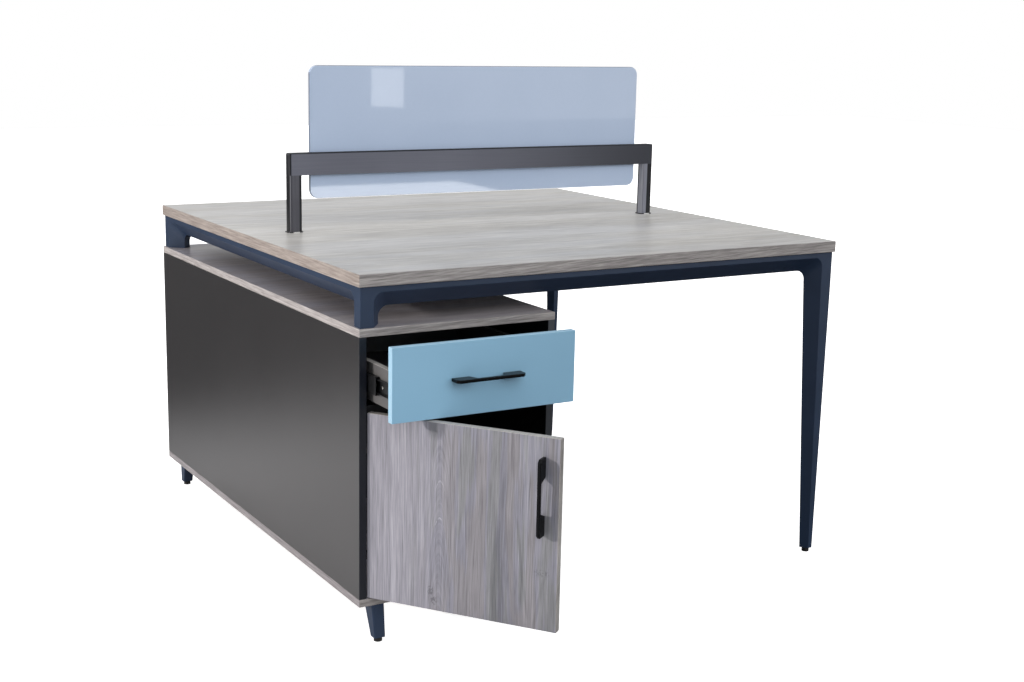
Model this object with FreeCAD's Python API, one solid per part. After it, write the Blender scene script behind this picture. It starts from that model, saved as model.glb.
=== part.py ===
import FreeCAD, Part
import math
import os

# A two-person desk with a shared cabinet under its left side and a low screen bridge
# across its middle. Lengths are in millimetres: X runs along the desk, Y from the front
# user to the rear user, Z up. The pieces are built with the front left corner of the
# desktop over X = 0, Y = 0 and are moved to the common origin at the end.

V = FreeCAD.Vector
UP = V(0, 0, 1)

# Desktop, one board
desk_length = 1200.0
desk_depth = 1200.0
desk_height = 750.0
desktop_thickness = 25.0
desktop_edge_chamfer = 1.0

# Steel frame under the desktop
frame_inset = 5.0
rail_width = 40.0
rail_height = 45.0
rail_lip = 12.0
rail_slope_width = 33.0
rail_wall = 2.0
head_reach = 120.0
spigot_length = 45.0
spigot_play = 0.4
web_radius = 22.0
weld_sink = 3.0
centre_rail_width = 40.0
centre_rail_height = 30.0

# Legs
leg_flat = 28.5
leg_reach = 53.0
leg_straight_length = 70.0
foot_flat = 11.0
foot_slope_width = 17.0
foot_draw_in = 3.0

# Levelling glides
glide_height = 9.0
glide_radius = 8.5
stem_radius = 4.0
stem_length = 30.0
stem_play = 0.1
stem_end_play = 2.0

# Plates that hold the desktop to the rails
tab_width = 36.0
tab_reach = 26.0
tab_thickness = 3.0
tab_hole_radius = 2.6
tab_place_shares = (0.27, 0.73)

# Screen bridge
beam_end_distance = 100.0
beam_depth = 24.0
beam_height = 50.0
beam_low = 129.0
beam_end_radius = 7.0
beam_edge_chamfer = 0.8
post_width = 32.0
post_corner_radius = 7.0
flange_rim = 3.0
flange_thickness = 2.0
screen_end_distance = 54.0
screen_height = 298.0
screen_thickness = 8.0
screen_low = 75.0
screen_corner_radius = 20.0
screen_edge_chamfer = 0.8
gasket_thickness = 1.5
gasket_proud = 0.8

# Cabinet
cabinet_width = 442.0
board_thickness = 16.0
board_edge_chamfer = 0.7
cabinet_low = 80.0
gap_over_cabinet = 81.0
divider_play = 2.0

# Fronts, which lie between the side panels
front_thickness = 16.0
front_setback = 2.5
side_gap = 2.0
top_gap = 1.0
middle_gap = 3.0
bottom_gap = 2.0
drawer_face_height = 146.5
front_edge_chamfer = 0.8

# Drawer box
box_side_thickness = 12.0
box_height = 76.5
box_length = 450.0
box_lift = 19.0
box_bottom_thickness = 5.0
groove_depth = 6.0
groove_lift = 10.0
groove_play = 0.3

# Telescopic runners, each of three nested members
runner_width = 12.7
runner_height = 45.0
runner_sheet = 1.2
runner_lip = 2.5
runner_step = 1.5
runner_ball_room = 3.0
runner_play = 0.5
runner_setback = 2.0

# Bridge handles
handle_length = 153.0
handle_projection = 26.0
handle_thickness = 6.5
handle_bar_depth = 7.0
handle_foot_length = 39.0
handle_foot_slope = 8.0
handle_chamfer = 6.0
handle_inner_radius = 3.0
handle_edge_chamfer = 0.7
door_handle_margin = 32.0
door_handle_drop = 114.0

# Concealed hinges
cup_radius = 17.5
cup_depth = 11.5
cup_margin = 5.0
cup_play = 0.1
cup_wall = 1.5
cup_rim_width = 1.5
cup_flange_thickness = 1.2
cup_wing_length = 62.0
cup_wing_width = 14.0
hinge_end_distance = 80.0
arm_width = 16.0
arm_length = 66.0
arm_nose_play = 3.0
arm_rise = 15.0
arm_sheet = 1.6
arm_web_height = 9.0
arm_nose_length = 16.0
plate_length = 34.0
plate_span = 50.0
plate_thickness = 2.0
plate_corner_radius = 8.0
plate_setback = 24.0

# Cabinet feet
foot_top_outer = 29.0
foot_top_width = 28.0
foot_top_front = 5.0
foot_top_depth = 37.0
foot_bottom_outer = 33.0
foot_bottom_width = 24.0
foot_bottom_front = -2.0
foot_bottom_depth = 20.0
foot_corner_radius = 2.0

# Pose of the front drawer and the front door
drawer_pull = 109.0
door_opening_degrees = 54.2
middle_member_share = 0.5

# Heights and places that follow from the sizes above
desktop_low = desk_height - desktop_thickness
beam_length = desk_length - beam_end_distance * 2
screen_length = beam_length - screen_end_distance * 2
cabinet_high = desktop_low - gap_over_cabinet
cabinet_inner_low = cabinet_low + board_thickness
cabinet_inner_high = cabinet_high - board_thickness
cabinet_inner_left = board_thickness
cabinet_inner_right = cabinet_width - board_thickness
middle_depth = desk_depth / 2
front_left = cabinet_inner_left + side_gap
front_right = cabinet_inner_right - side_gap
front_back = front_setback + front_thickness
drawer_face_high = cabinet_inner_high - top_gap
drawer_face_low = drawer_face_high - drawer_face_height
door_high = drawer_face_low - middle_gap
door_low = cabinet_inner_low + bottom_gap
box_left = cabinet_inner_left + runner_width
box_right = cabinet_inner_right - runner_width
box_low = drawer_face_low + box_lift
box_high = box_low + box_height
box_back = front_back + box_length
floor_low = box_low + groove_lift
floor_high = floor_low + box_bottom_thickness
runner_middle_height = (box_low + box_high) / 2
hinge_heights = (door_low + hinge_end_distance, door_high - hinge_end_distance)
cup_centre = front_left + cup_margin + cup_radius
foot_reach = foot_flat + (leg_reach - leg_flat) * foot_slope_width / rail_slope_width


def block(low, high):
    """A block between two opposite corners."""
    return Part.makeBox(high[0] - low[0], high[1] - low[1], high[2] - low[2], V(*low))


def board(low, high, chamfer):
    """A block with all its edges broken by a small chamfer."""
    plain = block(low, high)
    return plain.makeChamfer(chamfer, plain.Edges)


def rounded_wire(corners, radii):
    """A closed outline of straight edges whose corners are rounded where a radius is given."""
    count = len(corners)
    starts = []
    ends = []
    arcs = []
    for i in range(count):
        corner = corners[i]
        radius = radii[i]
        before = (corners[i - 1] - corner).normalize()
        after = (corners[(i + 1) % count] - corner).normalize()
        half = before.getAngle(after) / 2
        reach = radius / math.tan(half)
        starts.append(corner + before * reach)
        ends.append(corner + after * reach)
        bisector = (before + after).normalize()
        arcs.append(corner + bisector * (radius / math.sin(half) - radius))
    edges = []
    for i in range(count):
        if radii[i] > 0:
            edges.append(Part.Arc(starts[i], arcs[i], ends[i]).toShape())
        edges.append(Part.LineSegment(ends[i], starts[(i + 1) % count]).toShape())
    return Part.Wire(edges)


def prism(corners, radius, direction):
    """An outline with one radius at all its corners, extruded along a direction."""
    wire = rounded_wire(corners, [radius] * len(corners))
    return Part.Face(wire).extrude(direction)


def flat_face(points):
    """A flat polygon."""
    return Part.Face(Part.makePolygon(points + points[:1]))


def flat_sided(first, last):
    """A solid between two outlines whose matching edges are parallel, so its sides are flat."""
    faces = [flat_face(first), flat_face(last)]
    for i in range(len(first)):
        faces.append(flat_face([first[i - 1], first[i], last[i], last[i - 1]]))
    shell = Part.makeShell(faces)
    shell.sewShape()
    solid = Part.makeSolid(shell)
    if solid.Volume < 0:
        solid.reverse()
    return solid


def rounded_column(x, y, width, depth, radius, low, high):
    """An upright column with rounded corners around a centre point."""
    left = x - width / 2
    front = y - depth / 2
    corners = [V(left, front, low), V(left + width, front, low)]
    corners += [V(left + width, front + depth, low), V(left, front + depth, low)]
    return prism(corners, radius, V(0, 0, high - low))


def across_desk(shape):
    """The mirror image on the other side of the desk's length."""
    return shape.mirror(V(desk_length / 2, 0, 0), V(1, 0, 0))


def across_cabinet(shape):
    """The mirror image on the other side of the cabinet's width."""
    return shape.mirror(V(cabinet_width / 2, 0, 0), V(1, 0, 0))


def to_rear(shape):
    """The mirror image on the rear user's side."""
    return shape.mirror(V(0, middle_depth, 0), V(0, 1, 0))


# The frame's rails have a low outer lip, a slope that runs inward below it, a narrow
# foot and an upright inner wall. Each point is its distance inward and its depth.
rail_outline = [
    (0, 0),
    (0, rail_lip),
    (rail_slope_width, rail_height),
    (rail_width, rail_height),
    (rail_width, 0),
]


def section_across_x(shrink, x):
    """The front rail's section in the plane at x, drawn in on all sides."""
    points = [V(x, frame_inset + inward, desktop_low - down) for inward, down in rail_outline]
    face = flat_face(points)
    if shrink > 0:
        face = face.makeOffset2D(-shrink, join=2)
    return face


def front_rail():
    """A hollow rail between the corner heads, along the front edge."""
    start = frame_inset + head_reach
    length = desk_length - start * 2
    outer = section_across_x(0, start).extrude(V(length, 0, 0))
    bore = section_across_x(rail_wall, start).extrude(V(length, 0, 0))
    return outer.cut(bore)


def left_rail():
    """A hollow rail between the corner heads, along the left edge."""
    start = frame_inset + head_reach
    length = desk_depth - start * 2
    tube = section_across_x(0, 0).extrude(V(length, 0, 0))
    tube = tube.cut(section_across_x(rail_wall, 0).extrude(V(length, 0, 0)))
    return swap_axes(tube.translated(V(start, 0, 0)))


def swap_axes(shape):
    """The mirror image that swaps X and Y, so that a front piece becomes a left one."""
    return shape.mirror(V(0, 0, 0), V(1, -1, 0))


def centre_rail():
    """A rectangular tube under the middle of the desktop, between the side rails."""
    left = frame_inset + rail_width
    right = desk_length - left
    front = middle_depth - centre_rail_width / 2
    back = front + centre_rail_width
    low = desktop_low - centre_rail_height
    outer = block((left, front, low), (right, back, desktop_low))
    inner_low = (left, front + rail_wall, low + rail_wall)
    inner_high = (right, back - rail_wall, desktop_low - rail_wall)
    return outer.cut(block(inner_low, inner_high))


def head_arm():
    """The corner head's arm along the front, mitred at the corner, with its spigot."""
    end = frame_inset + head_reach
    mitre = [V(frame_inset + q, frame_inset + q, desktop_low - r) for q, r in rail_outline]
    square = [V(end, frame_inset + q, desktop_low - r) for q, r in rail_outline]
    arm = flat_sided(mitre, square)
    spigot = section_across_x(rail_wall + spigot_play, end - weld_sink)
    return arm.fuse(spigot.extrude(V(spigot_length + weld_sink, 0, 0)))


def arm_web():
    """The round web between the rail's slope and the side of the leg, along their crease."""
    corner = V(frame_inset + leg_flat, frame_inset, desktop_low - rail_lip)
    along = corner + V(web_radius, 0, 0)
    down = corner + V(0, 0, -web_radius)
    centre = corner + V(web_radius, 0, -web_radius)
    middle = centre + V(-1, 0, 1).normalize() * web_radius
    inside = corner + V(-weld_sink, 0, weld_sink)
    edges = [Part.LineSegment(inside, along).toShape()]
    edges.append(Part.Arc(along, middle, down).toShape())
    edges.append(Part.LineSegment(down, inside).toShape())
    crease = V(leg_reach - leg_flat, rail_slope_width, rail_lip - rail_height)
    return Part.Face(Part.Wire(edges)).extrude(crease)


def leg_section(flat, reach, slope_width, draw_in, z):
    """A five-sided section: two outer flats, two sides that spread inward, an inner flat."""
    points = [(0, 0), (flat, 0), (reach, slope_width), (slope_width, reach), (0, flat)]
    start = frame_inset + draw_in
    return [V(start + p, start + q, z) for p, q in points]


def head_with_stem(low):
    """The corner head with its two arms, webs and the straight part of its leg."""
    top = leg_section(leg_flat, leg_reach, rail_slope_width, 0, desktop_low)
    bottom = leg_section(leg_flat, leg_reach, rail_slope_width, 0, low)
    arm = head_arm()
    web = arm_web()
    pieces = [arm, swap_axes(arm), web, swap_axes(web)]
    return flat_sided(top, bottom).fuse(pieces)


def foot_centre():
    """The middle of the long leg's foot, along X and along Y alike."""
    reaches = (0, foot_flat, foot_reach, foot_slope_width, 0)
    return frame_inset + foot_draw_in + sum(reaches) / len(reaches)


def short_leg():
    """A corner head whose leg ends on top of the cabinet."""
    return head_with_stem(cabinet_high).removeSplitter()


def long_leg():
    """A corner head whose leg tapers down to a small foot with a socket for its glide."""
    knee = desktop_low - leg_straight_length
    foot = leg_section(foot_flat, foot_reach, foot_slope_width, foot_draw_in, glide_height)
    straight_end = leg_section(leg_flat, leg_reach, rail_slope_width, 0, knee)
    leg = head_with_stem(knee).fuse(flat_sided(straight_end, foot)).removeSplitter()
    return leg.cut(glide_socket(foot_centre(), foot_centre()))


def glide_socket(x, y):
    """The space for a glide's stem, from the foot's lower end up."""
    depth = stem_length + stem_end_play
    return Part.makeCylinder(stem_radius + stem_play, depth, V(x, y, glide_height), UP)


def glide(x, y):
    """A levelling glide: a round pad with a stem, turned about one axis."""
    high = glide_height + stem_length
    profile = [(0, 0), (glide_radius, 0), (glide_radius, glide_height)]
    profile += [(stem_radius, glide_height), (stem_radius, high), (0, high)]
    face = flat_face([V(radius, 0, z) for radius, z in profile])
    return face.revolve(V(0, 0, 0), UP, 360).translated(V(x, y, 0))


def desktop_tabs():
    """Plates with a screw hole, welded to the front and the rear rail under the desktop."""
    inner = frame_inset + rail_width
    half = tab_width / 2
    low = desktop_low - tab_thickness
    tabs = []
    for share in tab_place_shares:
        x = desk_length * share
        plate = block((x - half, inner, low), (x + half, inner + tab_reach, desktop_low))
        hole = Part.makeCylinder(tab_hole_radius, tab_thickness, V(x, inner + tab_reach / 2, low), UP)
        tab = plate.cut(hole)
        tabs += [tab, to_rear(tab)]
    return Part.makeCompound(tabs)


def desktop():
    """The shared desktop, one board."""
    low = (0, 0, desktop_low)
    high = (desk_length, desk_depth, desk_height)
    return board(low, high, desktop_edge_chamfer)


def screen_slot_width():
    """The beam's slot holds the screen between its two gaskets."""
    return screen_thickness + gasket_thickness * 2


def beam():
    """The bridge's beam, rounded like its posts, with a slot that the screen passes through."""
    left = (desk_length - beam_length) / 2
    right = left + beam_length
    low = desk_height + beam_low
    high = low + beam_height
    front = middle_depth - beam_depth / 2
    corners = [V(left, front, low), V(right, front, low), V(right, front, high), V(left, front, high)]
    wire = rounded_wire(corners, [0, 0, beam_end_radius, beam_end_radius])
    bar = Part.Face(wire).extrude(V(0, beam_depth, 0))
    upper = [edge for edge in bar.Edges if edge.BoundBox.ZMin > low and edge.Length > beam_length / 2]
    bar = bar.makeChamfer(beam_edge_chamfer, upper)
    x = desk_length / 2
    column = rounded_column(x, middle_depth, beam_length, beam_depth, post_corner_radius, low, high)
    bar = bar.common(column)
    half = screen_slot_width() / 2
    slot_left = (desk_length - screen_length) / 2 - gasket_thickness
    slot_low = (slot_left, middle_depth - half, low)
    slot_high = (desk_length - slot_left, middle_depth + half, high)
    return bar.cut(block(slot_low, slot_high))


def left_post():
    """An upright between the desktop and the beam's end."""
    x = (desk_length - beam_length + post_width) / 2
    low = desk_height + flange_thickness
    high = desk_height + beam_low
    return rounded_column(x, middle_depth, post_width, beam_depth, post_corner_radius, low, high)


def post_flanges():
    """The thin base plates under the two posts."""
    x = (desk_length - beam_length + post_width) / 2
    width = post_width + flange_rim * 2
    depth = beam_depth + flange_rim * 2
    radius = post_corner_radius + flange_rim
    high = desk_height + flange_thickness
    plate = rounded_column(x, middle_depth, width, depth, radius, desk_height, high)
    return Part.makeCompound([plate, across_desk(plate)])


def screen_panel():
    """The translucent panel, with large rounded corners."""
    left = (desk_length - screen_length) / 2
    right = left + screen_length
    low = desk_height + screen_low
    high = low + screen_height
    front = middle_depth - screen_thickness / 2
    corners = [V(left, front, low), V(right, front, low), V(right, front, high), V(left, front, high)]
    panel = prism(corners, screen_corner_radius, V(0, screen_thickness, 0))
    flat = [edge for edge in panel.Edges if edge.BoundBox.YLength < screen_edge_chamfer]
    return panel.makeChamfer(screen_edge_chamfer, flat)


def screen_gaskets():
    """The two strips that grip the screen in the beam's slot, one on each side."""
    left = (desk_length - screen_length) / 2
    low = desk_height + beam_low - gasket_proud
    high = desk_height + beam_low + beam_height + gasket_proud
    front = middle_depth - screen_slot_width() / 2
    strip_low = (left, front, low)
    strip_high = (left + screen_length, front + gasket_thickness, high)
    strip = block(strip_low, strip_high)
    return Part.makeCompound([strip, to_rear(strip)])


def cabinet_board(low):
    """The cabinet's top or bottom board, with the height of its lower face."""
    high = (cabinet_width, desk_depth, low + board_thickness)
    return board((0, 0, low), high, board_edge_chamfer)


def cabinet_side():
    """The left side panel, between the top and the bottom board."""
    low = (0, 0, cabinet_inner_low)
    high = (board_thickness, desk_depth, cabinet_inner_high)
    return board(low, high, board_edge_chamfer)


def partition():
    """The upright board that parts the front user's half from the rear user's."""
    front = middle_depth - board_thickness / 2
    low = (cabinet_inner_left, front, cabinet_inner_low)
    high = (cabinet_inner_right, front + board_thickness, cabinet_inner_high)
    return block(low, high)


def divider():
    """The board between the drawer and the cupboard, behind the fronts."""
    middle = (door_high + drawer_face_low) / 2
    half = board_thickness / 2
    low = (cabinet_inner_left, front_back + divider_play, middle - half)
    high = (cabinet_inner_right, middle_depth - half, middle + half)
    return block(low, high)


def cabinet_foot():
    """The front left foot: four-sided, tapered and leaning forward, with its glide socket."""
    left = foot_top_outer
    front = foot_top_front
    right = left + foot_top_width
    back = front + foot_top_depth
    top = [(left, front), (right, front), (right, back), (left, back)]
    low_left = foot_bottom_outer
    low_front = foot_bottom_front
    low_right = low_left + foot_bottom_width
    low_back = low_front + foot_bottom_depth
    bottom = [(low_left, low_front), (low_right, low_front), (low_right, low_back), (low_left, low_back)]
    upper = [V(x, y, cabinet_low) for x, y in top]
    lower = [V(x, y, glide_height) for x, y in bottom]
    foot = flat_sided(upper, lower)

    def spans_height(edge):
        return edge.BoundBox.ZLength > foot_top_depth

    foot = foot.makeFillet(foot_corner_radius, [edge for edge in foot.Edges if spans_height(edge)])
    return foot.cut(glide_socket(*cabinet_glide_centre()))


def cabinet_glide_centre():
    """The middle of the front left foot's lower end."""
    x = foot_bottom_outer + foot_bottom_width / 2
    y = foot_bottom_front + foot_bottom_depth / 2
    return x, y


def drawer_face():
    """The drawer's visible front board."""
    low = (front_left, front_setback, drawer_face_low)
    high = (front_right, front_back, drawer_face_high)
    return board(low, high, front_edge_chamfer)


def floor_space():
    """The drawer floor's space in the grooves of the sides and the inner front."""
    low = (box_left + box_side_thickness - groove_depth, front_back + groove_depth, floor_low)
    high = (box_right - box_side_thickness + groove_depth, box_back, floor_high)
    return low, high


def drawer_sides():
    """The two sides of the drawer box, each with a groove for the floor."""
    low = (box_left, front_back, box_low)
    high = (box_left + box_side_thickness, box_back, box_high)
    groove_low, groove_high = floor_space()
    side = block(low, high).cut(block(groove_low, groove_high))
    return Part.makeCompound([side, across_cabinet(side)])


def drawer_inner_front():
    """The drawer box's front board, screwed to the back of the drawer face."""
    low = (box_left + box_side_thickness, front_back, box_low)
    high = (box_right - box_side_thickness, front_back + box_side_thickness, box_high)
    groove_low, groove_high = floor_space()
    return block(low, high).cut(block(groove_low, groove_high))


def drawer_back():
    """The drawer box's back board, which stands on the floor."""
    low = (box_left + box_side_thickness, box_back - box_side_thickness, floor_high)
    high = (box_right - box_side_thickness, box_back, box_high)
    return block(low, high)


def drawer_floor():
    """The drawer's floor, held in the grooves."""
    low, high = floor_space()
    left = low[0] + groove_play
    right = high[0] - groove_play
    front = low[1] + groove_play
    return block((left, front, low[2]), (right, high[1], high[2]))


def channel(base, end, half_height):
    """A C-shaped runner member with turned-in lips, across the runner's width and height."""
    sheet = runner_sheet
    inner = half_height - sheet
    lip = inner - runner_lip
    upper = [(base, half_height), (end, half_height), (end, lip), (end - sheet, lip)]
    upper += [(end - sheet, inner), (base + sheet, inner)]
    return upper + [(across, -height) for across, height in reversed(upper)]


def runner_members():
    """The sections of the outer, middle and inner member, nested with room for the balls."""
    shrink = runner_sheet + runner_ball_room
    half = runner_height / 2
    middle_half = half - shrink
    inner_half = middle_half - shrink
    inner_web = runner_width - runner_sheet
    middle_end = inner_web - runner_play
    outer_end = middle_end - runner_step
    middle_base = runner_sheet + runner_step
    inner_base = middle_base + runner_sheet + runner_step
    outer = channel(0, outer_end, half)
    middle = channel(middle_base, middle_end, middle_half)
    inner = [(runner_width, inner_half), (inner_base, inner_half)]
    inner += [(inner_base, inner_half - runner_sheet), (inner_web, inner_half - runner_sheet)]
    inner += [(across, -height) for across, height in reversed(inner)]
    return outer, middle, inner


def runner_pair(section):
    """A runner member on the left and its mirror image on the right, closed."""
    start = front_back + runner_setback
    points = []
    for across, height in section:
        points.append(V(cabinet_inner_left + across, start, runner_middle_height + height))
    member = flat_face(points).extrude(V(0, box_length - runner_setback, 0))
    return Part.makeCompound([member, across_cabinet(member)])


def handle():
    """A bridge handle along X, standing out to -Y, with its middle at the origin."""
    half = handle_length / 2
    foot_end = half - handle_foot_length
    bar_inner = handle_projection - handle_bar_depth
    outside = [(half, 0, 0), (half, handle_projection - handle_chamfer, 0)]
    outside.append((half - handle_chamfer, handle_projection, 0))
    recess = [(foot_end, 0, 0), (foot_end - handle_foot_slope, bar_inner, handle_inner_radius)]
    outline = outside + [(-x, y, radius) for x, y, radius in reversed(outside)]
    outline += [(-x, y, radius) for x, y, radius in recess] + recess[::-1]
    low = -handle_thickness / 2
    corners = [V(x, -y, low) for x, y, radius in outline]
    radii = [radius for x, y, radius in outline]
    bridge = Part.Face(rounded_wire(corners, radii)).extrude(V(0, 0, handle_thickness))

    def is_visible_edge(edge):
        is_flat = edge.BoundBox.ZLength < handle_edge_chamfer
        return is_flat and edge.BoundBox.YMin < -handle_edge_chamfer

    visible = [edge for edge in bridge.Edges if is_visible_edge(edge)]
    return bridge.makeChamfer(handle_edge_chamfer, visible)


def drawer_handle():
    """The drawer's handle, level in the middle of its face."""
    x = (front_left + front_right) / 2
    z = (drawer_face_low + drawer_face_high) / 2
    return handle().translated(V(x, front_setback, z))


def door_handle():
    """The door's handle, upright near its free edge."""
    upright = handle()
    upright.rotate(V(0, 0, 0), V(0, 1, 0), 90)
    x = front_right - door_handle_margin
    z = door_high - door_handle_drop
    return upright.translated(V(x, front_setback, z))


def door_panel():
    """The cupboard door, with the bores for its two hinge cups."""
    low = (front_left, front_setback, door_low)
    high = (front_right, front_back, door_high)
    panel = board(low, high, front_edge_chamfer)
    for z in hinge_heights:
        place = V(cup_centre, front_back - cup_depth, z)
        panel = panel.cut(Part.makeCylinder(cup_radius + cup_play, cup_depth, place, V(0, 1, 0)))
    return panel


def hinge_cup(z):
    """A hinge cup in the door's back: a round bowl, its rim and a wing for two screws."""
    depth_axis = V(0, 1, 0)
    bottom = front_back - cup_depth
    bowl = Part.makeCylinder(cup_radius, cup_depth, V(cup_centre, bottom, z), depth_axis)
    rim_radius = cup_radius + cup_rim_width
    rim_place = V(cup_centre, front_back, z)
    rim = Part.makeCylinder(rim_radius, cup_flange_thickness, rim_place, depth_axis)
    half_wing = cup_wing_length / 2
    wing_left = cup_centre + rim_radius - cup_wing_width
    wing_right = cup_centre + rim_radius
    corners = [V(wing_left, front_back, z - half_wing), V(wing_right, front_back, z - half_wing)]
    corners += [V(wing_right, front_back, z + half_wing), V(wing_left, front_back, z + half_wing)]
    wing = prism(corners, cup_wing_width / 3, V(0, cup_flange_thickness, 0))
    cup = bowl.fuse([rim, wing])
    pocket_half = arm_width / 2 + cup_wall
    pocket_reach = math.sqrt((cup_radius - cup_wall) ** 2 - pocket_half ** 2)
    pocket_low = (cup_centre - pocket_reach, bottom + cup_wall, z - pocket_half)
    pocket_high = (cup_centre + pocket_reach, front_back + cup_flange_thickness, z + pocket_half)
    return cup.cut(block(pocket_low, pocket_high)).removeSplitter()


def hinge_cups():
    """The cups of both hinges of a door."""
    return Part.makeCompound([hinge_cup(z) for z in hinge_heights])


def hinge_arm(z):
    """A cranked hinge arm on its mounting plate, on the side panel's inner face."""
    nose = front_back + cup_flange_thickness + arm_nose_play
    tail = nose + arm_length
    wall = cabinet_inner_left
    plate_front = nose + plate_setback
    plate_back = plate_front + plate_length
    span = plate_span / 2
    corners = [V(wall, plate_front, z - span), V(wall, plate_back, z - span)]
    corners += [V(wall, plate_back, z + span), V(wall, plate_front, z + span)]
    plate = prism(corners, plate_corner_radius, V(plate_thickness, 0, 0))
    half = arm_width / 2
    top = wall + arm_rise
    foot = top - arm_web_height
    profile = [(wall, plate_front), (foot, nose), (top, nose), (top, nose + arm_nose_length)]
    profile += [(foot + arm_sheet * 2, tail), (wall, tail)]
    corners = [V(x, y, z - half) for x, y in profile]
    body = flat_face(corners).extrude(V(0, 0, arm_width))
    hollow = [(wall, plate_front), (foot, nose), (top - arm_sheet, nose)]
    hollow += [(top - arm_sheet, nose + arm_nose_length), (wall, nose + arm_nose_length)]
    corners = [V(x, y, z - half + arm_sheet) for x, y in hollow]
    body = body.cut(flat_face(corners).extrude(V(0, 0, arm_width - arm_sheet * 2)))
    return body.fuse(plate).removeSplitter()


def hinge_arms():
    """The arms and plates of both hinges of a door."""
    return Part.makeCompound([hinge_arm(z) for z in hinge_heights])


def slid(shape, distance):
    """A piece moved out of the front, towards the user."""
    return shape.translated(V(0, -distance, 0))


def swung(shape):
    """A piece of the front door, turned open about the hinge corner of its front face."""
    turned = shape.copy()
    turned.rotate(V(front_left, front_setback, 0), UP, -door_opening_degrees)
    return turned


parts = {}

front = front_rail()
left = left_rail()
parts["desktop"] = desktop()
parts["rail_front"] = front
parts["rail_rear"] = to_rear(front)
parts["rail_left"] = left
parts["rail_right"] = across_desk(left)
parts["rail_centre"] = centre_rail()
parts["desktop_tabs"] = desktop_tabs()

short = short_leg()
long = long_leg()
parts["leg_front_left"] = short
parts["leg_rear_left"] = to_rear(short)
parts["leg_front_right"] = across_desk(long)
parts["leg_rear_right"] = to_rear(across_desk(long))

post = left_post()
parts["screen_beam"] = beam()
parts["screen_post_left"] = post
parts["screen_post_right"] = across_desk(post)
parts["screen_post_flanges"] = post_flanges()
parts["screen_panel"] = screen_panel()
parts["screen_gaskets"] = screen_gaskets()

side = cabinet_side()
shelf = divider()
foot = cabinet_foot()
parts["cabinet_top"] = cabinet_board(cabinet_inner_high)
parts["cabinet_bottom"] = cabinet_board(cabinet_low)
parts["cabinet_side_left"] = side
parts["cabinet_side_right"] = across_cabinet(side)
parts["cabinet_partition"] = partition()
parts["cabinet_divider_front"] = shelf
parts["cabinet_divider_rear"] = to_rear(shelf)
parts["cabinet_foot_front_left"] = foot
parts["cabinet_foot_front_right"] = across_cabinet(foot)
parts["cabinet_foot_rear_left"] = to_rear(foot)
parts["cabinet_foot_rear_right"] = to_rear(across_cabinet(foot))

leg_glide = across_desk(glide(foot_centre(), foot_centre()))
cabinet_glide = glide(*cabinet_glide_centre())
parts["glide_leg_front"] = leg_glide
parts["glide_leg_rear"] = to_rear(leg_glide)
parts["glide_cabinet_front_left"] = cabinet_glide
parts["glide_cabinet_front_right"] = across_cabinet(cabinet_glide)
parts["glide_cabinet_rear_left"] = to_rear(cabinet_glide)
parts["glide_cabinet_rear_right"] = to_rear(across_cabinet(cabinet_glide))

outer_member, middle_member, inner_member = runner_members()
drawer_pieces = {
    "drawer_face": drawer_face(),
    "drawer_handle": drawer_handle(),
    "drawer_sides": drawer_sides(),
    "drawer_inner_front": drawer_inner_front(),
    "drawer_back": drawer_back(),
    "drawer_floor": drawer_floor(),
    "runner_inner": runner_pair(inner_member),
}
door_pieces = {
    "door_panel": door_panel(),
    "door_handle": door_handle(),
    "hinge_cups": hinge_cups(),
}
fixed_pieces = {
    "runner_outer": runner_pair(outer_member),
    "hinge_arms": hinge_arms(),
}
middle_pair = runner_pair(middle_member)

for name, piece in drawer_pieces.items():
    parts["front_" + name] = slid(piece, drawer_pull)
    parts["rear_" + name] = to_rear(piece)
for name, piece in door_pieces.items():
    parts["front_" + name] = swung(piece)
    parts["rear_" + name] = to_rear(piece)
for name, piece in fixed_pieces.items():
    parts["front_" + name] = piece
    parts["rear_" + name] = to_rear(piece)
parts["front_runner_middle"] = slid(middle_pair, drawer_pull * middle_member_share)
parts["rear_runner_middle"] = to_rear(middle_pair)

# The common origin is under the middle of everything, on the floor.
whole = Part.makeCompound(list(parts.values())).BoundBox
origin = V(whole.Center.x, whole.Center.y, whole.ZMin)

os.makedirs("parts", exist_ok=True)
for name, shape in parts.items():
    shape.translated(-origin).exportStep("parts/" + name + ".step")
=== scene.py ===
import bmesh
import bpy
import math
from mathutils import Matrix, Vector


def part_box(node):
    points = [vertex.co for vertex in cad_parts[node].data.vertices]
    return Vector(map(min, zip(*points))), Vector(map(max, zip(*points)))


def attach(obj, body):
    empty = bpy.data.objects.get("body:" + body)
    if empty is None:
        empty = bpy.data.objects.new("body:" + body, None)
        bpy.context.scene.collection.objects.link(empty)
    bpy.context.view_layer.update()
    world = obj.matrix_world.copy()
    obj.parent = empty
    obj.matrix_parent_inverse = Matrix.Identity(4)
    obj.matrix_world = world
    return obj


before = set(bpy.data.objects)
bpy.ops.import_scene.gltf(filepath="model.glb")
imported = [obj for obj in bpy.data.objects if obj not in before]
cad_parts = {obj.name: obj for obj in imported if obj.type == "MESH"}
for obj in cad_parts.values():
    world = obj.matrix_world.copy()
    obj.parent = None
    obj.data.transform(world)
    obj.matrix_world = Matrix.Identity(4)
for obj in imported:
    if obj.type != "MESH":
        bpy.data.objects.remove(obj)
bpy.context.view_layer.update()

# Everything is in metres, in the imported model's frame. Places on the desk are read off in
# millimetres from the front left corner of the desktop, over the floor.
top_low, top_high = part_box("desktop")
corner = Vector((top_low.x, top_low.y, 0.0))
middle_y = (top_low.y + top_high.y) / 2
drawer_pull = 0.109
door_turn = math.radians(54.2)


def at(x, y, z):
    """A place on the desk, given in millimetres from the desktop's front left corner."""
    return corner + Vector((x, y, z)) / 1000


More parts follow.
